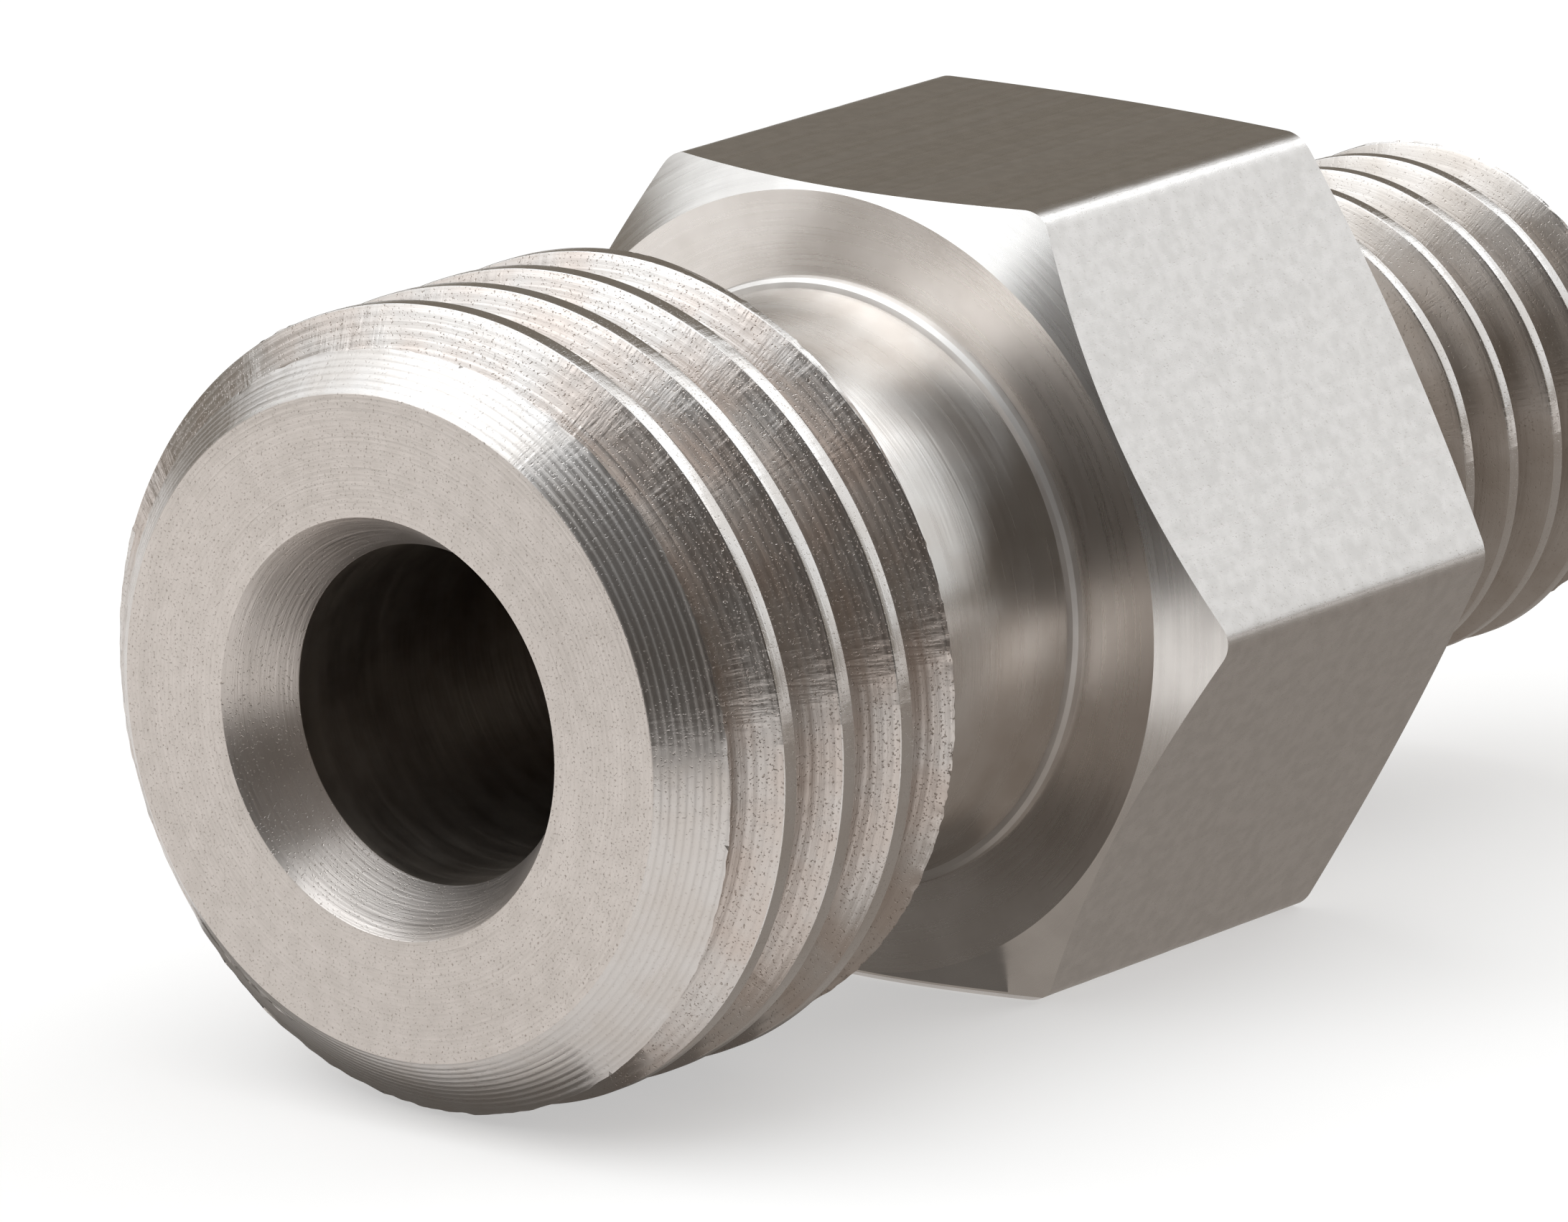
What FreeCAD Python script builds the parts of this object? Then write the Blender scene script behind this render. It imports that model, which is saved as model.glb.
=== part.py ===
import FreeCAD, Part
import math
import os

# Straight hose fitting turned from one length of hexagon bar.
# Both ends carry a male thread and one bore runs through from face to face.
# Millimetres. The origin is the centre of the front face, X runs along the bore
# towards the back, Z is up and one flat of the hexagon faces up.

# Front thread
FRONT_MAJOR_D = 9.45
FRONT_PITCH = 25.4 / 24
FRONT_CREST_FLAT = 0.21
FRONT_ROOT_FLAT = 0.13
FRONT_CHAMFER_D = 7.76
FRONT_THREAD_L = 4.43
# Distance along X of the middle of a groove where the helix passes straight up
FRONT_GROOVE_X = 1.684

# Rear thread
REAR_MAJOR_D = 6.2
REAR_PITCH = 25.4 / 28
REAR_CREST_FLAT = 0.16
REAR_ROOT_FLAT = 0.12
REAR_CHAMFER_D = 4.9
REAR_THREAD_L = 4.65
REAR_GROOVE_X = 16.9

# Relief between the front thread and the hexagon
NECK_D = 6.9
NECK_SHOULDER_ANGLE = 45.0
COLLAR_D = 7.36
COLLAR_L = 0.14
COLLAR_EDGE_R = 0.05
NECK_FILLET_R = 2.0

# Hexagon
HEX_ACROSS_FLATS = 9.525
HEX_FRONT_X = 8.2
HEX_L = 5.7
HEX_FACE_D = 9.4
HEX_FRONT_CHAMFER_ANGLE = 31.0
HEX_REAR_CHAMFER_ANGLE = 14.0
HEX_CORNER_R = 0.4

# Relief behind the hexagon
REAR_NECK_D = 5.0
REAR_NECK_L = 2.2
REAR_NECK_FILLET_R = 0.4

# Bore and the conical seat in the front face
BORE_D = 3.97
SEAT_D = 4.92
SEAT_ANGLE = 60.0
BORE_EXIT_CHAMFER = 0.25

# Clearances that only let one cutting shape run past another
OVERRUN = 0.5

# Sizes that follow from the ones above
FRONT_R = FRONT_MAJOR_D / 2
REAR_R = REAR_MAJOR_D / 2
NECK_R = NECK_D / 2
COLLAR_R = COLLAR_D / 2
REAR_NECK_R = REAR_NECK_D / 2
BORE_R = BORE_D / 2
SEAT_R = SEAT_D / 2
APOTHEM = HEX_ACROSS_FLATS / 2
HEX_FACE_R = HEX_FACE_D / 2
HEX_CORNER_RADIUS = APOTHEM / math.cos(math.pi / 6)
HEX_REAR_X = HEX_FRONT_X + HEX_L
FRONT_NECK_X = (FRONT_THREAD_L + HEX_FRONT_X) / 2
REAR_THREAD_X = HEX_REAR_X + REAR_NECK_L
REAR_NECK_X = (HEX_REAR_X + REAR_THREAD_X) / 2
REAR_END_X = REAR_THREAD_X + REAR_THREAD_L
SEAT_DEPTH = (SEAT_R - BORE_R) / math.tan(math.radians(SEAT_ANGLE / 2))
# Half width that a 60 degree groove gains for each millimetre outwards
FLANK_SLOPE = math.tan(math.radians(30))


def vec(x, y, z):
    return FreeCAD.Vector(x, y, z)


def revolve_outline(points):
    """Turn an outline given as (x, radius) pairs about the X axis."""
    wire = Part.makePolygon([vec(x, 0, r) for x, r in points + points[:1]])
    return Part.Face(wire).revolve(vec(0, 0, 0), vec(1, 0, 0), 360)


def revolve_edges(edges):
    """Turn a closed chain of edges lying in the XZ plane about the X axis."""
    face = Part.Face(Part.Wire(edges))
    return face.revolve(vec(0, 0, 0), vec(1, 0, 0), 360)


def line(a, b):
    return Part.LineSegment(vec(a[0], 0, a[1]), vec(b[0], 0, b[1])).toShape()


def arc(a, middle, b):
    points = [vec(p[0], 0, p[1]) for p in (a, middle, b)]
    return Part.Arc(*points).toShape()


def on_circle(centre, radius, degrees):
    angle = math.radians(degrees)
    return (centre[0] + radius * math.cos(angle), centre[1] + radius * math.sin(angle))


def helix_path(radius, pitch, length):
    """Right-hand helix about Z from the X axis upwards, one edge to a turn."""
    edges = []
    for turn in range(math.ceil(length / pitch)):
        rise = min(pitch, length - turn * pitch)
        helix = Part.makeHelix(pitch, rise, radius)
        helix.translate(vec(0, 0, turn * pitch))
        edges += helix.Edges
    return Part.Wire(edges)


def thread_groove(radius, pitch, crest_flat, root_flat, groove_x, start_x, end_x):
    """Right-hand 60 degree groove, from start_x to end_x along the X axis.

    The middle of the groove passes the top of the part at groove_x."""
    half_mouth = (pitch - crest_flat) / 2
    half_root = root_flat / 2
    depth = (half_mouth - half_root) / FLANK_SLOPE
    # The flanks carry on outside the blank, but neighbouring turns must not meet.
    outside = crest_flat / 2
    wide = half_mouth + outside * FLANK_SLOPE
    # Built upright about Z, its section starting on the X axis.
    section = Part.makePolygon([
        vec(radius - depth, 0, -half_root),
        vec(radius - depth, 0, half_root),
        vec(radius + outside, 0, wide),
        vec(radius + outside, 0, -wide),
        vec(radius - depth, 0, -half_root),
    ])
    path = helix_path(radius, pitch, end_x - start_x)
    groove = path.makePipeShell([section], True, True)
    # Laid along X, with the starting section on top.
    groove.rotate(vec(0, 0, 0), vec(0, 1, 0), 90)
    groove.rotate(vec(0, 0, 0), vec(1, 0, 0), 180)
    turns_before_top = (groove_x - start_x) / pitch
    groove.rotate(vec(0, 0, 0), vec(1, 0, 0), -360 * turns_before_top)
    groove.translate(vec(start_x, 0, 0))
    return groove


def front_thread():
    """Front thread from the front face to the middle of its relief."""
    chamfer = FRONT_R - FRONT_CHAMFER_D / 2
    shoulder = (FRONT_R - NECK_R) / math.tan(math.radians(NECK_SHOULDER_ANGLE))
    outline = [
        (0, 0),
        (0, FRONT_CHAMFER_D / 2),
        (chamfer, FRONT_R),
        (FRONT_THREAD_L, FRONT_R),
        (FRONT_THREAD_L + shoulder, NECK_R),
        (FRONT_NECK_X, NECK_R),
        (FRONT_NECK_X, 0),
    ]
    groove = thread_groove(
        FRONT_R, FRONT_PITCH, FRONT_CREST_FLAT, FRONT_ROOT_FLAT,
        FRONT_GROOVE_X, -FRONT_PITCH, FRONT_NECK_X)
    return revolve_outline(outline).cut(groove)


def front_neck():
    """Rest of the front relief, flaring up to the collar on the hexagon."""
    collar_x = HEX_FRONT_X - COLLAR_L
    # The flare is an arc that starts along the neck and ends below the collar's edge.
    edge_low = COLLAR_R - COLLAR_EDGE_R
    sweep = math.degrees(math.acos(1 - (edge_low - NECK_R) / NECK_FILLET_R))
    flare_x = collar_x - NECK_FILLET_R * math.sin(math.radians(sweep))
    flare_centre = (flare_x, NECK_R + NECK_FILLET_R)
    flare_start = (flare_x, NECK_R)
    flare_middle = on_circle(flare_centre, NECK_FILLET_R, -90 + sweep / 2)
    flare_end = (collar_x, edge_low)
    # The front edge of the collar is rounded.
    round_centre = (collar_x + COLLAR_EDGE_R, edge_low)
    round_middle = on_circle(round_centre, COLLAR_EDGE_R, 135)
    round_end = (round_centre[0], COLLAR_R)
    inside_x = HEX_FRONT_X + OVERRUN
    return revolve_edges([
        line((FRONT_NECK_X, 0), (FRONT_NECK_X, NECK_R)),
        line((FRONT_NECK_X, NECK_R), flare_start),
        arc(flare_start, flare_middle, flare_end),
        arc(flare_end, round_middle, round_end),
        line(round_end, (inside_x, COLLAR_R)),
        line((inside_x, COLLAR_R), (inside_x, 0)),
        line((inside_x, 0), (FRONT_NECK_X, 0)),
    ])


def rear_neck():
    """Relief behind the hexagon, filleted where it meets the hexagon."""
    fillet_centre = (HEX_REAR_X + REAR_NECK_FILLET_R, REAR_NECK_R + REAR_NECK_FILLET_R)
    fillet_top = (HEX_REAR_X, fillet_centre[1])
    fillet_middle = on_circle(fillet_centre, REAR_NECK_FILLET_R, 225)
    fillet_end = (fillet_centre[0], REAR_NECK_R)
    inside_x = HEX_REAR_X - OVERRUN
    return revolve_edges([
        arc(fillet_top, fillet_middle, fillet_end),
        line(fillet_end, (REAR_NECK_X, REAR_NECK_R)),
        line((REAR_NECK_X, REAR_NECK_R), (REAR_NECK_X, 0)),
        line((REAR_NECK_X, 0), (inside_x, 0)),
        line((inside_x, 0), (inside_x, fillet_top[1])),
        line((inside_x, fillet_top[1]), fillet_top),
    ])


def rear_thread():
    """Rear thread from the middle of its relief to the rear face."""
    chamfer = REAR_R - REAR_CHAMFER_D / 2
    shoulder = REAR_R - REAR_NECK_R
    outline = [
        (REAR_NECK_X, 0),
        (REAR_NECK_X, REAR_NECK_R),
        (REAR_THREAD_X - shoulder, REAR_NECK_R),
        (REAR_THREAD_X, REAR_R),
        (REAR_END_X - chamfer, REAR_R),
        (REAR_END_X, REAR_CHAMFER_D / 2),
        (REAR_END_X, 0),
    ]
    groove = thread_groove(
        REAR_R, REAR_PITCH, REAR_CREST_FLAT, REAR_ROOT_FLAT,
        REAR_GROOVE_X, REAR_NECK_X, REAR_END_X + REAR_PITCH)
    return revolve_outline(outline).cut(groove)


def hexagon():
    """Hexagon bar with a flat on top, its corners taken back at both ends."""
    corners = []
    for i in range(6):
        angle = math.radians(60 * i)
        y = HEX_CORNER_RADIUS * math.cos(angle)
        z = HEX_CORNER_RADIUS * math.sin(angle)
        corners.append(vec(HEX_FRONT_X, y, z))
    outline = Part.makePolygon(corners + corners[:1])
    bar = Part.Face(outline).extrude(vec(HEX_L, 0, 0))
    along = [e for e in bar.Edges if e.BoundBox.XLength > HEX_L / 2]
    bar = bar.makeFillet(HEX_CORNER_R, along)
    # Both ends lie inside a turned shape whose cones start just inside the flats.
    reach = HEX_CORNER_RADIUS + OVERRUN
    rise = reach - HEX_FACE_R
    front_depth = rise * math.tan(math.radians(HEX_FRONT_CHAMFER_ANGLE))
    rear_depth = rise * math.tan(math.radians(HEX_REAR_CHAMFER_ANGLE))
    envelope = revolve_outline([
        (HEX_FRONT_X, 0),
        (HEX_FRONT_X, HEX_FACE_R),
        (HEX_FRONT_X + front_depth, reach),
        (HEX_REAR_X - rear_depth, reach),
        (HEX_REAR_X, HEX_FACE_R),
        (HEX_REAR_X, 0),
    ])
    return bar.common(envelope)


def through_bore():
    """Plain bore with the conical seat in front and a broken edge behind."""
    exit_x = REAR_END_X - BORE_EXIT_CHAMFER
    return revolve_outline([
        (-OVERRUN, 0),
        (-OVERRUN, SEAT_R + OVERRUN * math.tan(math.radians(SEAT_ANGLE / 2))),
        (SEAT_DEPTH, BORE_R),
        (exit_x, BORE_R),
        (REAR_END_X + OVERRUN, BORE_R + BORE_EXIT_CHAMFER + OVERRUN),
        (REAR_END_X + OVERRUN, 0),
    ])


fitting = hexagon().fuse([front_thread(), front_neck(), rear_neck(), rear_thread()])
fitting = fitting.removeSplitter().cut(through_bore())

os.makedirs("parts", exist_ok=True)
fitting.Solids[0].exportStep("parts/fitting_body.step")
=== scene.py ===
import math

import bmesh
import bpy
from mathutils import Matrix, Quaternion, Vector, noise


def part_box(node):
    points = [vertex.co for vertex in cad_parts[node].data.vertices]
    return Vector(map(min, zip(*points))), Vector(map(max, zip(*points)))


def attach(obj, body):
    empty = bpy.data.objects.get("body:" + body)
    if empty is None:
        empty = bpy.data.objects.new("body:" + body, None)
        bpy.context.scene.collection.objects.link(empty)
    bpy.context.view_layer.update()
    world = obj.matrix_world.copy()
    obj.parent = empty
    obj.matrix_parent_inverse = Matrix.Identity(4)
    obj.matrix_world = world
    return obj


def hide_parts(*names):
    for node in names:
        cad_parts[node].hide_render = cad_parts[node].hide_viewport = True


# Straight hose fitting of bare turned steel, lying on a flat of its hexagon.
# The sizes below are in millimetres, along X from the front face.

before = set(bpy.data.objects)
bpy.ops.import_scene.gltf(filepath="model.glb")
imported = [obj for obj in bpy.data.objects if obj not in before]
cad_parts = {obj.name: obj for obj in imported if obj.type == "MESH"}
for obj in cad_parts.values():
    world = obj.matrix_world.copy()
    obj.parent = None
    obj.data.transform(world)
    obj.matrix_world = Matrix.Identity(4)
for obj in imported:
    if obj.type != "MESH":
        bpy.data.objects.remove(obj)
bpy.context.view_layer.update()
NODE = "fitting_body"
MM = 0.001
box_low, box_high = (Vector(corner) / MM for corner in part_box(NODE))

# Front thread
FRONT_R = 4.725
FRONT_PITCH = 25.4 / 24
FRONT_CREST_FLAT = 0.21
FRONT_ROOT_FLAT = 0.13
FRONT_FACE_R = 3.88
FRONT_THREAD_L = 4.43
FRONT_GROOVE_X = 1.684

# Rear thread
REAR_R = 3.1
REAR_PITCH = 25.4 / 28
REAR_CREST_FLAT = 0.16
REAR_ROOT_FLAT = 0.12
REAR_FACE_R = 2.45
REAR_THREAD_L = 4.65
REAR_GROOVE_X = 16.9

# Reliefs, collar and hexagon
NECK_R = 3.45
COLLAR_R = 3.68
COLLAR_L = 0.14
COLLAR_EDGE_R = 0.13
NECK_FILLET_R = 2.0
HEX_FRONT_X = 8.2
HEX_FACE_R = 4.7
HEX_FRONT_SLOPE = math.tan(math.radians(31))
HEX_REAR_SLOPE = math.tan(math.radians(14))
HEX_CORNER_R = 0.4
REAR_NECK_R = 2.5
REAR_NECK_FILLET_R = 0.4
APOTHEM = box_high.z
REAR_END_X = box_high.x
REAR_THREAD_X = REAR_END_X - REAR_THREAD_L
REAR_RELIEF_L = 2.2
HEX_REAR_X = REAR_THREAD_X - REAR_RELIEF_L

# Bore and seat
BORE_R = 1.985
SEAT_R = 2.46
SEAT_HALF_ANGLE = math.radians(30)
SEAT_DEPTH = (SEAT_R - BORE_R) / math.tan(SEAT_HALF_ANGLE)
BORE_EXIT_CHAMFER = 0.25

# Radii of most turned edges, of both edges of the seat and of the thread roots
EDGE_BREAK = 0.025
SEAT_EDGE_R = 0.015
BORE_EDGE_R = 0.03
ROOT_EDGE_R = 0.05

# Thread flanks lean by 30 degrees.
FLANK_SLOPE = math.tan(math.radians(30))

# Distances between mesh points along an outline, and steps in a small arc
OUTLINE_SPACING = 0.22
THREAD_SPACING = 0.1
ARC_STEPS = 3

# A spin covers this many columns before it is doubled. A plain ring is doubled this often for
# one turn, and a thread this often past its first turn.
SPUN_COLUMNS = 7
RING_DOUBLINGS = 5
THREAD_DOUBLINGS = 3

# Points nearer than this are merged after a sweep and at the end, in metres.
SWEEP_MERGE = 1e-7
LAST_MERGE = 1e-9

# Burr and torn edges of the threads: how far along X they reach and how far they stand off
BURR_REACH = 0.5
BURR_HEIGHT = 0.014
BURR_SWAY = 0.02
NICK_DEPTH = 0.012
TORN_REACH = 0.3
TORN_SWAY = 0.04
TORN_FINE_SWAY = 0.02
TORN_DEPTH = 0.02

# An excess below this counts as none, and open edges this near to a cut belong to it.
NO_EXCESS = 1e-9
NEAR_CUT = 0.004

# A face this near to a surface belongs to it.
ON_SURFACE = 0.01
ON_CREST = 0.012
ON_CHAMFER = 0.002

# Edges sharper than this are shown as edges.
SHARP_ANGLE = math.radians(28)


# Outlines, as lists of (x, radius)

def straight(start, end, count):
    """Points from start up to but not including end."""
    (x0, r0), (x1, r1) = start, end
    steps = [i / count for i in range(count)]
    return [(x0 + (x1 - x0) * t, r0 + (r1 - r0) * t) for t in steps]


def round_corner(corner, before, after, radius):
    """Short arc that takes the place of a corner between two straight runs."""
    corner, before, after = Vector(corner), Vector(before), Vector(after)
    back = (before - corner).normalized()
    forth = (after - corner).normalized()
    half = math.acos(max(-1.0, min(1.0, back.dot(forth)))) / 2
    cut = radius / math.tan(half)
    centre = corner + (back + forth).normalized() * radius / math.sin(half)
    start = corner + back * cut - centre
    end = corner + forth * cut - centre
    turn = start.angle_signed(end)
    points = []
    for i in range(ARC_STEPS + 1):
        angle = -turn * i / ARC_STEPS
        cos, sin = math.cos(angle), math.sin(angle)
        turned = Vector((start.x * cos - start.y * sin, start.x * sin + start.y * cos))
        points.append(tuple(centre + turned))
    return points


def rounded_outline(corners, radii, spacing):
    """Outline through the corners, each rounded by its own radius, with even points between."""
    stops = [[corners[0]]]
    for i in range(1, len(corners) - 1):
        if radii[i]:
            stops.append(round_corner(corners[i], corners[i - 1], corners[i + 1], radii[i]))
        else:
            stops.append([corners[i]])
    stops.append([corners[-1]])
    points = []
    for here, there in zip(stops, stops[1:]):
        points += here[:-1]
        length = math.dist(here[-1], there[0])
        points += straight(here[-1], there[0], max(1, round(length / spacing)))
    return points + stops[-1]


def thread_outline(radius, pitch, crest_flat, root_flat):
    """One pitch of a thread, from the middle of a groove to the middle of the next."""
    half_mouth = (pitch - crest_flat) / 2
    depth = (half_mouth - root_flat / 2) / FLANK_SLOPE
    root_r = radius - depth
    corners = [
        (0, root_r),
        (root_flat / 2, root_r),
        (half_mouth, radius),
        (pitch - half_mouth, radius),
        (pitch - root_flat / 2, root_r),
        (pitch, root_r),
    ]
    radii = [0, ROOT_EDGE_R, EDGE_BREAK, EDGE_BREAK, ROOT_EDGE_R, 0]
    return rounded_outline(corners, radii, THREAD_SPACING)


def limit_at(limits, x):
    """Radius of the turned blank at x, from its corners."""
    for (x0, r0), (x1, r1) in zip(limits, limits[1:]):
        if x <= x1:
            return r0 + (r1 - r0) * (x - x0) / (x1 - x0)
    return limits[-1][1]


# Meshes

def new_mesh():
    bm = bmesh.new()
    bm.verts.layers.float.new("lay")
    return bm


def add_outline(bm, points, closed=False):
    """Draw an outline above the X axis. Each vertex keeps its place across the tool marks."""
    lay = bm.verts.layers.float["lay"]
    verts = []
    along = 0.0
    for i, (x, r) in enumerate(points):
        vert = bm.verts.new((x * MM, 0, r * MM))
        if i:
            along += math.dist(points[i - 1], points[i])
        vert[lay] = along
        verts.append(vert)
    edges = [bm.edges.new(pair) for pair in zip(verts, verts[1:])]
    if closed:
        edges.append(bm.edges.new((verts[-1], verts[0])))
    return verts + edges


def wind(bm, geometry, steps, doublings, pitch=0.0):
    """Sweep an outline about X through a short arc, then double the arc again and again.

    Steps is the number of columns in a full turn. The sweep covers SPUN_COLUMNS columns, and
    each doubling twice as many.
    """
    before = set(bm.verts)
    swept = SPUN_COLUMNS
    advance = pitch * MM / steps
    bmesh.ops.spin(bm, geom=geometry, cent=(0, 0, 0), axis=(1, 0, 0), dvec=(advance, 0, 0),
                   angle=2 * math.pi * swept / steps, steps=swept, use_merge=False,
                   use_duplicate=False)
    own = set(geometry)
    for _ in range(doublings):
        verts = [v for v in bm.verts if v not in before or v in own]
        edges = {e for v in verts for e in v.link_edges}
        faces = {f for v in verts for f in v.link_faces}
        copy = bmesh.ops.duplicate(bm, geom=verts + list(edges) + list(faces))
        copied = [g for g in copy["geom"] if isinstance(g, bmesh.types.BMVert)]
        bmesh.ops.rotate(bm, verts=copied, cent=(0, 0, 0),
                         matrix=Matrix.Rotation(2 * math.pi * swept / steps, 3, "X"))
        bmesh.ops.translate(bm, verts=copied, vec=(advance * swept, 0, 0))
        swept *= 2
    bmesh.ops.remove_doubles(bm, verts=bm.verts, dist=SWEEP_MERGE)


def ring(bm, points):
    """Turn an outline once about the X axis."""
    wind(bm, add_outline(bm, points), SPUN_COLUMNS * 2 ** RING_DOUBLINGS, RING_DOUBLINGS)


def radius_of(co):
    return math.hypot(co.y, co.z) / MM


def angle_of(co):
    """Angle about X from straight up, growing towards -Y."""
    return math.atan2(-co.y, co.z)


def place(vert, x, r, angle):
    vert.co = (x * MM, -r * math.sin(angle) * MM, r * math.cos(angle) * MM)


def thread_strip(pitch, groove_x, profile, x_from, steps):
    """Wind one pitch of a thread round X as a screw, for eight turns from before x_from."""
    bm = new_mesh()
    start = groove_x + pitch * (math.floor((x_from - groove_x) / pitch) - 1)
    geometry = add_outline(bm, [(start + s, r) for s, r in profile])
    doublings = round(math.log2(steps / SPUN_COLUMNS)) + THREAD_DOUBLINGS
    wind(bm, geometry, steps, doublings, pitch)
    return bm


def turn_down(bm, limits, steps, burr_x, torn_x):
    """Bring a thread strip down to the turned blank, with its edges right on mesh lines.

    A thin burr stands on the edges near burr_x and the edges near torn_x are ragged. Each noise
    below has a rate per radian, mostly also one per millimetre, and a layer of its own.
    """
    columns = {}
    for vert in bm.verts:
        angle = angle_of(vert.co)
        columns.setdefault(round(angle * steps / (2 * math.pi)) % steps, []).append(vert)
    for number, verts in columns.items():
        angle = 2 * math.pi * number / steps
        verts.sort(key=lambda v: v.co.x)
        points = [[v.co.x / MM, radius_of(v.co)] for v in verts]
        excess = [r - limit_at(limits, x) for x, r in points]
        for i in range(len(points) - 1):
            if excess[i] * excess[i + 1] < 0:
                t = excess[i] / (excess[i] - excess[i + 1])
                crossing = [a + (b - a) * t for a, b in zip(points[i], points[i + 1])]
                nearest = i if t < 0.5 else i + 1
                if abs(excess[nearest]) > NO_EXCESS:
                    points[nearest] = crossing
                    excess[nearest] = 0.0
        for vert, (x, r), over in zip(verts, points, excess):
            r = min(r, limit_at(limits, x))
            if abs(over) < NO_EXCESS:
                if abs(x - burr_x) < BURR_REACH:
                    r += BURR_HEIGHT + BURR_SWAY * noise.noise((25 * angle, 3 * x, 0))
                else:
                    r -= NICK_DEPTH * max(0.0, noise.noise((35 * angle, 6 * x, 1)))
                if abs(x - torn_x) < TORN_REACH:
                    x += (TORN_SWAY * noise.noise((30 * angle, 0, 2))
                          + TORN_FINE_SWAY * noise.noise((90 * angle, 0, 3)))
                    r -= TORN_DEPTH * abs(noise.noise((60 * angle, 0, 4)))
            place(vert, x, r, angle)


def cut_at(bm, x, keep_above):
    """Cut a strip square to the axis and drop one side."""
    geometry = bm.verts[:] + bm.edges[:] + bm.faces[:]
    bmesh.ops.bisect_plane(bm, geom=geometry, dist=1e-8, plane_co=(x * MM, 0, 0),
                           plane_no=(1, 0, 0), clear_inner=keep_above, clear_outer=not keep_above)


def open_edges_near(bm, x):
    return [e for e in bm.edges if e.is_boundary
            and all(abs(v.co.x / MM - x) < NEAR_CUT for v in e.verts)]


def join_open_rings(bm, x_a, x_b):
    bmesh.ops.bridge_loops(bm, edges=open_edges_near(bm, x_a) + open_edges_near(bm, x_b))


def finish_piece(bm, name, materials, pick):
    """Make the object, give each face its finish and set it in place of the CAD node."""
    bmesh.ops.remove_doubles(bm, verts=bm.verts, dist=LAST_MERGE)
    bmesh.ops.recalc_face_normals(bm, faces=bm.faces)
    order = list(materials)
    for face in bm.faces:
        face.smooth = True
        face.material_index = order.index(pick(face))
    mesh = bpy.data.meshes.new(name)
    bm.to_mesh(mesh)
    bm.free()
    for key in order:
        mesh.materials.append(materials[key])
    mesh.set_sharp_from_angle(angle=SHARP_ANGLE)
    piece = bpy.data.objects.new(name, mesh)
    bpy.context.scene.collection.objects.link(piece)
    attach(piece, "root")
    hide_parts(NODE)
    print(name, "triangles", sum(len(p.vertices) - 2 for p in mesh.polygons))
    return piece


# Pieces

# A thread strip is cut square at two places, one near its end face and one this far past its
# run-out. Faces join it there to a plain turned ring, which starts a little further on.
RUNOUT_CLEAR = 0.08
NECK_JOIN = 0.05

FRONT_STEPS = 448
FRONT_CUT_X = 0.13
FRONT_CONE_X = 0.09
FRONT_NECK_CUT_X = FRONT_THREAD_L + FRONT_R - NECK_R + RUNOUT_CLEAR
# The turned blank that the strip is brought down to, as (x, radius), drawn on past its ends
FRONT_LIMITS = [
    (-3.0, FRONT_FACE_R - 3.0),
    (FRONT_R - FRONT_FACE_R, FRONT_R),
    (FRONT_THREAD_L, FRONT_R),
    (FRONT_THREAD_L + FRONT_R - NECK_R, NECK_R),
    (8.0, NECK_R),
]
FRONT_BURR_X = 0.5
FRONT_TORN_X = FRONT_THREAD_L + 0.1


def front_end(materials):
    """Front thread, face, seat, relief and collar, with its length of the bore."""
    profile = thread_outline(FRONT_R, FRONT_PITCH, FRONT_CREST_FLAT, FRONT_ROOT_FLAT)
    bm = thread_strip(FRONT_PITCH, FRONT_GROOVE_X, profile, FRONT_CUT_X, FRONT_STEPS)
    turn_down(bm, FRONT_LIMITS, FRONT_STEPS, FRONT_BURR_X, FRONT_TORN_X)
    cut_at(bm, FRONT_CUT_X, keep_above=True)
    cut_at(bm, FRONT_NECK_CUT_X, keep_above=False)

    neck_x = FRONT_NECK_CUT_X + NECK_JOIN
    collar_x = HEX_FRONT_X - COLLAR_L
    edge_low = COLLAR_R - COLLAR_EDGE_R
    sweep = math.acos(1 - (edge_low - NECK_R) / NECK_FILLET_R)
    flare = []
    flare_steps = 8
    for i in range(flare_steps + 1):
        angle = sweep * i / flare_steps
        flare.append((collar_x - NECK_FILLET_R * (math.sin(sweep) - math.sin(angle)),
                      NECK_R + NECK_FILLET_R * (1 - math.cos(angle))))
    corners = [
        (FRONT_CONE_X, FRONT_FACE_R + FRONT_CONE_X),
        (0, FRONT_FACE_R),
        (0, SEAT_R),
        (SEAT_DEPTH, BORE_R),
        (HEX_FRONT_X, BORE_R),
        (HEX_FRONT_X, COLLAR_R),
        (collar_x, COLLAR_R),
        flare[-1],
    ]
    # The collar's edge stays just short of the flare.
    radii = [0, EDGE_BREAK, SEAT_EDGE_R, BORE_EDGE_R, 0, 0, COLLAR_EDGE_R * 0.98, 0]
    outline = rounded_outline(corners, radii, OUTLINE_SPACING)[:-1] + flare[::-1]
    outline += straight(flare[0], (neck_x, NECK_R), flare_steps)[1:] + [(neck_x, NECK_R)]
    ring(bm, outline)
    join_open_rings(bm, FRONT_CUT_X, FRONT_CONE_X)
    join_open_rings(bm, FRONT_NECK_CUT_X, neck_x)

    def pick(face):
        middle = face.calc_center_median()
        x, r = middle.x / MM, radius_of(middle)
        if r < BORE_R + ON_SURFACE:
            return "bore"
        if x < ON_SURFACE:
            return "face"
        if x < SEAT_DEPTH and r < SEAT_R + ON_SURFACE:
            return "seat"
        if x > collar_x and r > edge_low:
            return "collar"
        if x > FRONT_NECK_CUT_X:
            return "neck"
        depth = limit_at(FRONT_LIMITS, x) - r
        if depth < ON_CHAMFER and x < FRONT_R - FRONT_FACE_R - ON_SURFACE:
            return "chamfer"
        return "crest" if depth < ON_CREST else "flank"

    return finish_piece(bm, "fitting_front_end", materials, pick)


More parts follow.
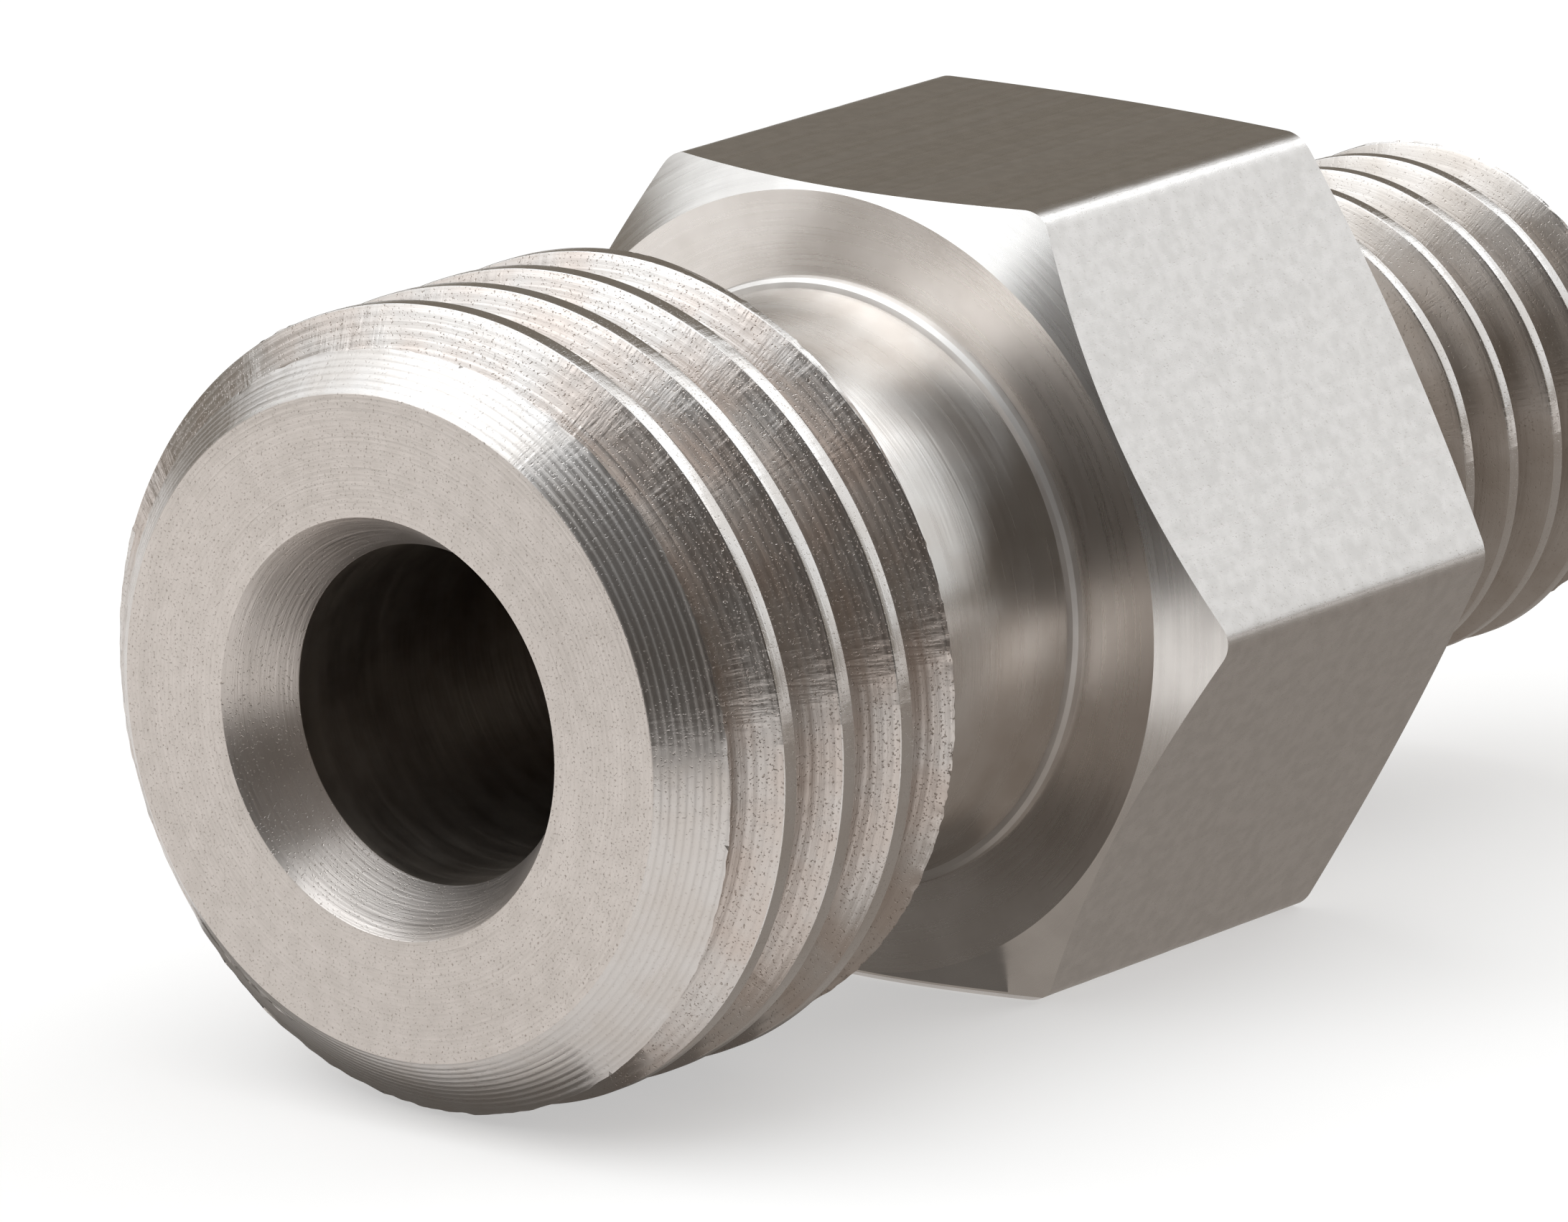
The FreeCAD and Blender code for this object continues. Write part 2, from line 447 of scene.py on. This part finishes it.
REAR_STEPS = 224
REAR_CUT_X = REAR_END_X - 0.1
REAR_CONE_L = 0.07
REAR_CONE_X = REAR_END_X - REAR_CONE_L
REAR_NECK_CUT_X = REAR_THREAD_X - (REAR_R - REAR_NECK_R) - RUNOUT_CLEAR
REAR_LIMITS = [
    (10.0, REAR_NECK_R),
    (REAR_THREAD_X - (REAR_R - REAR_NECK_R), REAR_NECK_R),
    (REAR_THREAD_X, REAR_R),
    (REAR_END_X - (REAR_R - REAR_FACE_R), REAR_R),
    (REAR_END_X + 2.0, REAR_FACE_R - 2.0),
]
REAR_BURR_X = REAR_END_X - 0.4
REAR_EDGE_R = 0.02
REAR_EXIT_EDGE_R = 0.01
# The foot of the relief lies just clear of the hexagon's end face, and its edges inside the
# hexagon lie off the relief's radius and off the bore.
REAR_FOOT_X = HEX_REAR_X + 0.003
REAR_FOOT_R = REAR_NECK_R + REAR_NECK_FILLET_R + 0.02
REAR_INNER_X = HEX_REAR_X - 0.01
REAR_INNER_R = BORE_R + 0.02


def rear_end(materials):
    """Rear thread, face and relief, with the last length of the bore."""
    profile = thread_outline(REAR_R, REAR_PITCH, REAR_CREST_FLAT, REAR_ROOT_FLAT)
    bm = thread_strip(REAR_PITCH, REAR_GROOVE_X, profile, REAR_NECK_CUT_X, REAR_STEPS)
    turn_down(bm, REAR_LIMITS, REAR_STEPS, REAR_BURR_X, REAR_THREAD_X)
    cut_at(bm, REAR_CUT_X, keep_above=False)
    cut_at(bm, REAR_NECK_CUT_X, keep_above=True)

    neck_x = REAR_NECK_CUT_X - NECK_JOIN
    corners = [
        (neck_x, REAR_NECK_R),
        (REAR_FOOT_X, REAR_NECK_R),
        (REAR_FOOT_X, REAR_FOOT_R),
        (REAR_INNER_X, REAR_INNER_R),
        (HEX_REAR_X, BORE_R),
        (REAR_END_X - BORE_EXIT_CHAMFER, BORE_R),
        (REAR_END_X, BORE_R + BORE_EXIT_CHAMFER),
        (REAR_END_X, REAR_FACE_R),
        (REAR_CONE_X, REAR_FACE_R + REAR_CONE_L),
    ]
    radii = [0, REAR_NECK_FILLET_R, 0, 0, 0, REAR_EDGE_R, REAR_EXIT_EDGE_R, EDGE_BREAK, 0]
    ring(bm, rounded_outline(corners, radii, OUTLINE_SPACING))
    join_open_rings(bm, REAR_CUT_X, REAR_CONE_X)
    join_open_rings(bm, REAR_NECK_CUT_X, neck_x)

    def pick(face):
        middle = face.calc_center_median()
        x, r = middle.x / MM, radius_of(middle)
        if r < BORE_R + ON_SURFACE:
            return "bore"
        if x > REAR_END_X - ON_SURFACE:
            return "face"
        if x < REAR_NECK_CUT_X:
            return "neck"
        return "crest" if limit_at(REAR_LIMITS, x) - r < ON_CREST else "rear_flank"

    return finish_piece(bm, "fitting_rear_end", materials, pick)


def hexagon_radius(angle):
    """Radius of the hexagon with rounded corners, a flat being square to angle 0."""
    off_flat = (angle + math.pi / 6) % (math.pi / 3) - math.pi / 6
    off_corner = math.pi / 6 - abs(off_flat)
    cos_30 = math.cos(math.pi / 6)
    corner_centre = (APOTHEM - HEX_CORNER_R) / cos_30
    rounded_up_to = math.atan2(HEX_CORNER_R / 2, corner_centre + HEX_CORNER_R * cos_30)
    if off_corner > rounded_up_to:
        return APOTHEM / math.cos(off_flat)
    across = corner_centre * math.sin(off_corner)
    return corner_centre * math.cos(off_corner) + math.sqrt(HEX_CORNER_R ** 2 - across ** 2)


HEX_STEPS = 448
HEX_WEAR = 0.008
# The rear end face reaches in under the foot of the relief.
HEX_INNER_R = REAR_NECK_R + REAR_NECK_FILLET_R - 0.1
# Columns of the mesh crowd towards the corners by this share.
CORNER_CROWDING = 0.13
# Lay on a flat starts this far on from the lay of the flat before.
LAY_PER_FLAT = 20


def hexagon(materials):
    """The hexagon, with both end faces turned and its corners taken back."""
    bm = new_mesh()
    chamfer_rows, flat_rows = 6, 40
    front = straight((HEX_FRONT_X, COLLAR_R), (HEX_FRONT_X, HEX_FACE_R), 5)
    rear = straight((HEX_REAR_X, HEX_FACE_R), (HEX_REAR_X, HEX_INNER_R), 8)
    # The outside is drawn as a plain cylinder first. Row numbers tell where each point belongs.
    rows = bm.verts.layers.int.new("row")
    count = 2 * chamfer_rows + flat_rows
    length = HEX_REAR_X - HEX_FRONT_X
    outside = [(HEX_FRONT_X + length * i / count, APOTHEM) for i in range(1, count)]
    outline = [(HEX_FRONT_X, BORE_R)] + front + [(HEX_FRONT_X, HEX_FACE_R)] + outside + rear
    outline += straight((HEX_REAR_X, HEX_INNER_R), (HEX_REAR_X, BORE_R), 1)
    outline += straight((HEX_REAR_X, BORE_R), (HEX_FRONT_X, BORE_R), 12)
    geometry = add_outline(bm, outline, closed=True)
    first_row = 1 + len(front)
    for i in range(count + 1):
        geometry[first_row + i][rows] = i + 1
    wind(bm, geometry, HEX_STEPS, round(math.log2(HEX_STEPS / SPUN_COLUMNS)))

    lay = bm.verts.layers.float["lay"]
    for vert in bm.verts:
        number = vert[rows] - 1
        angle = angle_of(vert.co)
        r = radius_of(vert.co)
        x = vert.co.x / MM
        angle += CORNER_CROWDING * math.sin(6 * angle)
        if number < 0:
            place(vert, x, r, angle)
            continue
        outer = hexagon_radius(angle)
        flat_from = HEX_FRONT_X + (outer - HEX_FACE_R) * HEX_FRONT_SLOPE
        flat_to = HEX_REAR_X - (outer - HEX_FACE_R) * HEX_REAR_SLOPE
        if number <= chamfer_rows:
            share = number / chamfer_rows
            x = HEX_FRONT_X + (flat_from - HEX_FRONT_X) * share
            r = HEX_FACE_R + (outer - HEX_FACE_R) * share
        elif number >= count - chamfer_rows:
            share = (count - number) / chamfer_rows
            x = HEX_REAR_X + (flat_to - HEX_REAR_X) * share
            r = HEX_FACE_R + (outer - HEX_FACE_R) * share
        else:
            share = (number - chamfer_rows) / flat_rows
            x = flat_from + (flat_to - flat_from) * share
            worn = max(0.0, noise.noise((3 * x, 9 * angle, 0)))
            r = outer - HEX_WEAR * worn * (outer - APOTHEM)
        if chamfer_rows <= number <= count - chamfer_rows:
            flat_number = round(angle / (math.pi / 3))
            sideways = r * math.sin(angle - flat_number * math.pi / 3)
            vert[lay] = sideways + LAY_PER_FLAT * flat_number
        place(vert, x, r, angle)

    def pick(face):
        middle = face.calc_center_median()
        x, r = middle.x / MM, radius_of(middle)
        if r < BORE_R + ON_SURFACE:
            return "bore"
        if all(chamfer_rows < v[rows] <= count - chamfer_rows + 1 for v in face.verts):
            return "flat"
        if x < HEX_FRONT_X + ON_SURFACE / 2 or x > HEX_REAR_X - ON_SURFACE / 2:
            return "ring"
        return "corner"

    return finish_piece(bm, "fitting_hexagon", materials, pick)


# Finishes

def new_group(name, inputs, outputs):
    group = bpy.data.node_groups.new(name, "ShaderNodeTree")
    for label, value in inputs:
        socket = group.interface.new_socket(label, in_out="INPUT", socket_type="NodeSocketFloat")
        socket.default_value = value
    for label in outputs:
        group.interface.new_socket(label, in_out="OUTPUT", socket_type="NodeSocketFloat")
    return group, group.nodes.new("NodeGroupInput"), group.nodes.new("NodeGroupOutput")


def math_node(tree, operation, *values, clamp=False):
    node = tree.nodes.new("ShaderNodeMath")
    node.operation = operation
    node.use_clamp = clamp
    for socket, value in zip(node.inputs, values):
        if isinstance(value, (int, float)):
            socket.default_value = value
        else:
            tree.links.new(value, socket)
    return node.outputs[0]


def vector_node(tree, operation, first, second=None, scale=None):
    node = tree.nodes.new("ShaderNodeVectorMath")
    node.operation = operation
    tree.links.new(first, node.inputs[0])
    if second is not None:
        if isinstance(second, tuple):
            node.inputs[1].default_value = second
        else:
            tree.links.new(second, node.inputs[1])
    if scale is not None:
        tree.links.new(scale, node.inputs["Scale"])
    return node.outputs["Vector"]


def noise_node(tree, vector, detail, roughness=0.5):
    node = tree.nodes.new("ShaderNodeTexNoise")
    node.inputs["Scale"].default_value = 1.0
    node.inputs["Detail"].default_value = detail
    node.inputs["Roughness"].default_value = roughness
    tree.links.new(vector, node.inputs["Vector"])
    return node.outputs["Fac"]


def ramp_between(tree, value, low, high):
    """0 below low, 1 above high and a smooth rise between."""
    node = tree.nodes.new("ShaderNodeMapRange")
    node.interpolation_type = "SMOOTHSTEP"
    node.inputs["From Min"].default_value = low
    node.inputs["From Max"].default_value = high
    tree.links.new(value, node.inputs["Value"])
    return node.outputs["Result"]


# Marks along the tool's path are counted on a circle of this radius, and even ridges wander
# from their place by this share of one ridge.
MARKS_R = 4.5
RIDGE_WANDER = 0.5


def tool_marks_group():
    """Marks of a tool on turned work. Lay is the place in millimetres over the tool's path.

    Across counts lines over the path in a millimetre, Around along it, and Feed the even ridges.
    """
    inputs = [("Lay", 0.0), ("Across", 20.0), ("Around", 0.5), ("Feed", 10.0)]
    group, given, out = new_group("tool_marks", inputs, ["Height", "Ridges"])
    links = group.links
    coords = group.nodes.new("ShaderNodeTexCoord")
    lay = given.outputs["Lay"]
    across = group.nodes.new("ShaderNodeCombineXYZ")
    links.new(math_node(group, "MULTIPLY", lay, given.outputs["Across"]), across.inputs[0])
    flat = vector_node(group, "MULTIPLY", coords.outputs["Object"], (0, 1, 1))
    outward = vector_node(group, "NORMALIZE", flat)
    reach = math_node(group, "MULTIPLY", given.outputs["Around"], MARKS_R)
    around = vector_node(group, "SCALE", outward, scale=reach)
    where = vector_node(group, "ADD", across.outputs[0], around)
    height = noise_node(group, where, detail=2.5, roughness=0.6)
    links.new(height, out.inputs["Height"])
    turns = math_node(group, "MULTIPLY", lay, given.outputs["Feed"])
    wander = math_node(group, "MULTIPLY_ADD", height, RIDGE_WANDER, turns)
    wave = math_node(group, "SINE", math_node(group, "MULTIPLY", wander, 2 * math.pi))
    links.new(math_node(group, "MULTIPLY_ADD", wave, 0.5, 0.5), out.inputs["Ridges"])
    return group


def grain_group():
    """Cloudy wear and small pits. Both are given per millimetre."""
    group, given, out = new_group("grain", [("Clouds", 1.5), ("Pits", 34.0)], ["Clouds", "Pits"])
    links = group.links
    coords = group.nodes.new("ShaderNodeTexCoord")
    for label, detail, low, high in (("Clouds", 3.0, 0.3, 0.7), ("Pits", 1.0, 0.6, 0.78)):
        per_metre = math_node(group, "MULTIPLY", given.outputs[label], 1 / MM)
        place_at = vector_node(group, "SCALE", coords.outputs["Object"], scale=per_metre)
        value = noise_node(group, place_at, detail)
        links.new(ramp_between(group, value, low, high), out.inputs[label])
    return group


# Depth in millimetres of a mark of depth 1
BUMP_MM = 0.004
# Marks per millimetre, along the tool's path
FINE_AROUND = 0.35
BROAD_AROUND = 0.15
# The same, over the path and along it
RIDGE_MARKS = (1.5, 0.4)
TORN_MARKS = (0.9, 1.1)
CHATTER_MARKS = (1.3, 9.5)
# Chatter shows where the torn marks pass these heights.
TORN_FROM, TORN_TO = 0.42, 0.64
# How far the colour takes over from the stain, everywhere and by the clouds
WORN_BASE = 0.35
WORN_CLOUDS = 0.65
PIT_COLOUR = (0.7, 0.66, 0.62, 1)
RIDGE_ROUGHNESS = 0.3


def steel(name, colour, stain, roughness, lines, line_depth, ticks=0.0, pits=0.0, clouds=1.5,
          coarse=5.0, streak=0.6, feed=0.0, ridges=0.0, cone=False, anisotropy=0.5, rotation=0.25):
    """Bare steel. Lines and coarse are tool marks per millimetre.

    Line_depth, ticks, pits and ridges are depths, as shares of BUMP_MM. On a cone the marks go
    by the distance along X, stretched as for a slope of 45 degrees, elsewhere by the mesh's lay.
    """
    material = bpy.data.materials.new(name)
    material.use_nodes = True
    tree = material.node_tree
    links = tree.links
    shader = tree.nodes["Principled BSDF"]
    shader.inputs["Metallic"].default_value = 1.0
    shader.inputs["Anisotropic"].default_value = anisotropy
    shader.inputs["Anisotropic Rotation"].default_value = rotation
    tangent = tree.nodes.new("ShaderNodeTangent")
    tangent.direction_type = "RADIAL"
    tangent.axis = "X"
    links.new(tangent.outputs[0], shader.inputs["Tangent"])

    if cone:
        coords = tree.nodes.new("ShaderNodeTexCoord")
        split = tree.nodes.new("ShaderNodeSeparateXYZ")
        links.new(coords.outputs["Object"], split.inputs[0])
        lay = math_node(tree, "MULTIPLY", split.outputs[0], math.sqrt(2) / MM)
    else:
        attribute = tree.nodes.new("ShaderNodeAttribute")
        attribute.attribute_name = "lay"
        lay = attribute.outputs["Fac"]

    def marks(across, around, output="Height"):
        node = tree.nodes.new("ShaderNodeGroup")
        node.node_tree = tool_marks
        links.new(lay, node.inputs["Lay"])
        node.inputs["Across"].default_value = across
        node.inputs["Around"].default_value = around
        node.inputs["Feed"].default_value = feed
        return node.outputs[output]

    fine = marks(lines, FINE_AROUND)
    broad = marks(coarse, BROAD_AROUND)
    grained = tree.nodes.new("ShaderNodeGroup")
    grained.node_tree = grain
    grained.inputs["Clouds"].default_value = clouds
    height = math_node(tree, "MULTIPLY", fine, line_depth)
    height = math_node(tree, "MULTIPLY_ADD", broad, line_depth, height)
    rough = math_node(tree, "MULTIPLY_ADD", fine, roughness * 0.5, roughness * 0.75)
    if ridges:
        ridge = marks(*RIDGE_MARKS, "Ridges")
        height = math_node(tree, "MULTIPLY_ADD", ridge, ridges, height)
        peaks = math_node(tree, "POWER", ridge, 3.0)
        rough = math_node(tree, "MULTIPLY_ADD", peaks, ridges * RIDGE_ROUGHNESS, rough)
    links.new(rough, shader.inputs["Roughness"])
    if ticks:
        torn = ramp_between(tree, marks(*TORN_MARKS), TORN_FROM, TORN_TO)
        chatter = math_node(tree, "MULTIPLY", marks(*CHATTER_MARKS), torn)
        height = math_node(tree, "MULTIPLY_ADD", chatter, ticks, height)
    if pits:
        height = math_node(tree, "MULTIPLY_ADD", grained.outputs["Pits"], -pits, height)
    bump = tree.nodes.new("ShaderNodeBump")
    bump.inputs["Distance"].default_value = BUMP_MM * MM
    links.new(height, bump.inputs["Height"])
    links.new(bump.outputs[0], shader.inputs["Normal"])

    worn = tree.nodes.new("ShaderNodeMix")
    worn.data_type = "RGBA"
    worn.inputs["A"].default_value = (*stain, 1)
    worn.inputs["B"].default_value = (*colour, 1)
    streaks = math_node(tree, "MULTIPLY_ADD", broad, streak, WORN_BASE - streak / 2)
    wear = math_node(tree, "MULTIPLY_ADD", grained.outputs["Clouds"], WORN_CLOUDS, streaks,
                     clamp=True)
    links.new(wear, worn.inputs["Factor"])
    pitted = tree.nodes.new("ShaderNodeMix")
    pitted.data_type = "RGBA"
    pitted.blend_type = "MULTIPLY"
    pitted.inputs["B"].default_value = PIT_COLOUR
    pitting = math_node(tree, "MULTIPLY", grained.outputs["Pits"], min(1.0, pits))
    links.new(pitting, pitted.inputs["Factor"])
    links.new(worn.outputs["Result"], pitted.inputs["A"])
    links.new(pitted.outputs["Result"], shader.inputs["Base Color"])
    return material


tool_marks = tool_marks_group()
grain = grain_group()
BRIGHT = (0.60, 0.565, 0.54)
WARM = (0.64, 0.583, 0.543)
DULL = (0.53, 0.48, 0.44)
BROWN = (0.52, 0.43, 0.375)
finishes = {
    "face": steel("faced_steel", WARM, (0.565, 0.513, 0.473), 0.40, 26, 1.4,
                  pits=1.3, clouds=4.0, feed=16, ridges=0.2),
    "seat": steel("seat_steel", WARM, DULL, 0.37, 24, 0.9, pits=0.5, feed=14, ridges=0.1),
    # The bore's steel gets a much darker colour and stain than the other steel: painted shade
    # inside the hole.
    "bore": steel("bore_steel_painted_shade", (0.38, 0.33, 0.285), (0.22, 0.18, 0.15), 0.40, 6, 1.0,
                  coarse=3.0, streak=0.8),
    "chamfer": steel("chamfer_steel", (0.575, 0.54, 0.515), DULL, 0.29, 20, 1.3,
                     ticks=1.2, pits=0.4, feed=10.5, ridges=0.6, cone=True),
    "crest": steel("crest_steel", BRIGHT, DULL, 0.25, 18, 1.0, ticks=1.7, pits=0.5),
    "flank": steel("flank_steel", (0.58, 0.54, 0.51), BROWN, 0.3, 20, 1.0,
                   ticks=2.9, pits=0.9, clouds=1.2, streak=0.4, feed=9, ridges=0.35),
    "rear_flank": steel("rear_flank_steel", (0.54, 0.495, 0.46), (0.40, 0.345, 0.30), 0.34, 16, 0.8,
                        ticks=1.0, pits=0.4, clouds=1.2),
    "neck": steel("neck_steel", (0.63, 0.595, 0.565), DULL, 0.26, 13, 0.5,
                  anisotropy=0.4, coarse=3.0, streak=0.3),
    # The collar's rounded edge gets a lighter colour than the other steel: a painted highlight
    # band, with rougher steel to spread it.
    "collar": steel("collar_edge_painted_highlight", (0.74, 0.705, 0.675), BRIGHT, 0.46, 12, 0.4,
                    anisotropy=0.2),
    "flat": steel("drawn_flat_steel", BRIGHT, (0.505, 0.475, 0.45), 0.28, 9, 0.1,
                  pits=0.3, clouds=5.0, coarse=3.0, streak=0.1, anisotropy=0.0, rotation=0.0),
    # The hexagon's end faces get a lighter colour and stain than the other turned steel: painted
    # light.
    "ring": steel("turned_ring_painted_light", (0.76, 0.715, 0.68), (0.66, 0.615, 0.575), 0.28, 14, 0.4,
                  coarse=3.0, streak=0.3),
    "corner": steel("corner_steel", (0.70, 0.665, 0.635), BRIGHT, 0.27, 14, 0.6,
                    streak=0.3, cone=True),
}

front_end(finishes)
rear_end(finishes)
hexagon(finishes)


# Camera, from the place and tilt that the photograph was taken at

CAMERA_AT = Vector((-121.06, -102.32, 43.08)) * MM
LOOK_ALONG = Vector((0.75605, 0.60293, -0.25469))
CAMERA_ROLL = math.radians(-0.555)
LENS = 333.0
SENSOR_WIDTH = 36.0


def add_camera():
    data = bpy.data.cameras.new("camera")
    data.sensor_width = SENSOR_WIDTH
    data.lens = LENS
    data.clip_start = 5 * MM
    camera = bpy.data.objects.new("camera", data)
    camera.location = CAMERA_AT
    camera.rotation_mode = "QUATERNION"
    level = LOOK_ALONG.to_track_quat("-Z", "Y")
    camera.rotation_quaternion = level @ Quaternion((0, 0, 1), CAMERA_ROLL)
    bpy.context.scene.collection.objects.link(camera)
    bpy.context.scene.camera = camera


# Floor, cards and light

FLOOR_Z = box_low.z
FLOOR_WIDTH = 3.0
FLOOR_PAINT = (0.965, 0.925, 0.895, 1)
# How far camera and reflections see the floor as plain white
FLOOR_WHITE_SHARE = 0.48
STAGE_CENTRE = Vector(((box_low.x + box_high.x) / 2, 0, 0)) * MM
LAMP_COLOUR = (0.93, 1.0, 1.06)
CARD_COLOUR = (1, 0.93, 0.86)
WORLD_COLOUR = (0.225, 0.20, 0.165, 1)


def flat_piece(name, size_x, size_y, material):
    """Flat rectangle about its own origin, facing its own Z."""
    bm = bmesh.new()
    bmesh.ops.create_grid(bm, x_segments=1, y_segments=1, size=0.5)
    bmesh.ops.scale(bm, vec=(size_x, size_y, 1), verts=bm.verts)
    mesh = bpy.data.meshes.new(name)
    bm.to_mesh(mesh)
    bm.free()
    mesh.materials.append(material)
    piece = bpy.data.objects.new(name, mesh)
    bpy.context.scene.collection.objects.link(piece)
    return piece


def add_floor():
    """Pale floor. Camera and reflections see it part way to plain white, with its shadow."""
    material = bpy.data.materials.new("pale_floor")
    material.use_nodes = True
    tree = material.node_tree
    tree.nodes.clear()
    paint = tree.nodes.new("ShaderNodeBsdfDiffuse")
    paint.inputs["Color"].default_value = FLOOR_PAINT
    white = tree.nodes.new("ShaderNodeEmission")
    white.inputs["Strength"].default_value = 1.0
    rays = tree.nodes.new("ShaderNodeLightPath")
    seen = math_node(tree, "MAXIMUM", rays.outputs["Is Camera Ray"], rays.outputs["Is Glossy Ray"])
    seen = math_node(tree, "MAXIMUM", seen, rays.outputs["Is Transmission Ray"])
    mix = tree.nodes.new("ShaderNodeMixShader")
    tree.links.new(math_node(tree, "MULTIPLY", seen, FLOOR_WHITE_SHARE), mix.inputs["Fac"])
    tree.links.new(paint.outputs[0], mix.inputs[1])
    tree.links.new(white.outputs[0], mix.inputs[2])
    out = tree.nodes.new("ShaderNodeOutputMaterial")
    tree.links.new(mix.outputs[0], out.inputs["Surface"])
    floor = flat_piece("floor", FLOOR_WIDTH, FLOOR_WIDTH, material)
    floor.location = (0, 0, FLOOR_Z * MM)


def towards(bearing, height):
    """Direction from the part. Bearing 0 points away from the camera and 90 to its right."""
    away = Vector((LOOK_ALONG.x, LOOK_ALONG.y, 0)).normalized()
    right = away.cross(Vector((0, 0, 1)))
    b, h = math.radians(bearing), math.radians(height)
    return (away * math.cos(b) + right * math.sin(b)) * math.cos(h) + Vector((0, 0, math.sin(h)))


def add_painted_reflection_card(name, centre, facing, width, tall, brightness):
    """Glowing grey card that only reflections see: a painted reflection, which is no lamp and casts
    no shadow.
    """
    material = bpy.data.materials.new(name)
    material.use_nodes = True
    tree = material.node_tree
    tree.nodes.clear()
    glow = tree.nodes.new("ShaderNodeEmission")
    glow.inputs["Color"].default_value = (*(brightness * part for part in CARD_COLOUR), 1)
    glow.inputs["Strength"].default_value = 1.0
    out = tree.nodes.new("ShaderNodeOutputMaterial")
    tree.links.new(glow.outputs[0], out.inputs["Surface"])
    card = flat_piece(name, width * MM, tall * MM, material)
    card.location = centre * MM
    card.rotation_euler = facing.to_track_quat("Z", "Y").to_euler()
    card.visible_camera = False
    card.visible_diffuse = False
    card.visible_shadow = False
    card.visible_transmission = False


def add_softbox(name, bearing, height, distance, width, tall, brightness):
    """Flat lamp that faces the part. Brightness 1 looks as bright as a white card.

    Bearing and height are in degrees, distance, width and tall in millimetres.
    """
    data = bpy.data.lights.new(name, "AREA")
    data.shape = "RECTANGLE"
    data.size = width * MM
    data.size_y = tall * MM
    data.energy = brightness * math.pi * data.size * data.size_y
    data.color = LAMP_COLOUR
    lamp = bpy.data.objects.new(name, data)
    direction = towards(bearing, height)
    lamp.location = STAGE_CENTRE + direction * distance * MM
    lamp.rotation_euler = direction.to_track_quat("Z", "Y").to_euler()
    bpy.context.scene.collection.objects.link(lamp)


def add_world():
    world = bpy.data.worlds.new("studio")
    world.use_nodes = True
    background = world.node_tree.nodes["Background"]
    background.inputs["Color"].default_value = WORLD_COLOUR
    background.inputs["Strength"].default_value = 1.0
    bpy.context.scene.world = world


add_camera()
add_floor()
add_world()
add_softbox("upper_left_softbox", -97, 42, 200, 420, 160, 1.4)
add_softbox("right_softbox", 60, 26, 200, 200, 170, 1.1)
add_softbox("upper_right_softbox", 74, 55, 200, 200, 110, 1.55)
add_softbox("overhead_softbox", -122, 74, 220, 265, 265, 1.65)
front_side = towards(170, 0)
up = Vector((0, 0, 1))
front_card_at = Vector((3, -1, FLOOR_Z + 32)) + front_side * 27
# A dark glowing card on the camera's side that only reflections see: painted shade of the unlit
# camera side, seen in the steel.
add_painted_reflection_card("painted_shade_card_front", front_card_at, -front_side, 66, 63, 0.09)
# Dark glowing cards on the floor beside and under the part that only reflections see: painted
# shadow of the floor, seen in the steel.
add_painted_reflection_card("painted_shadow_card_under", Vector((24, -19, FLOOR_Z + 0.05)), up, 46, 48, 0.36)
add_painted_reflection_card("painted_shadow_card_neck", Vector((4.8, 2.2, FLOOR_Z + 0.08)), up, 9, 9, 0.15)
bpy.context.scene.view_settings.view_transform = "Standard"
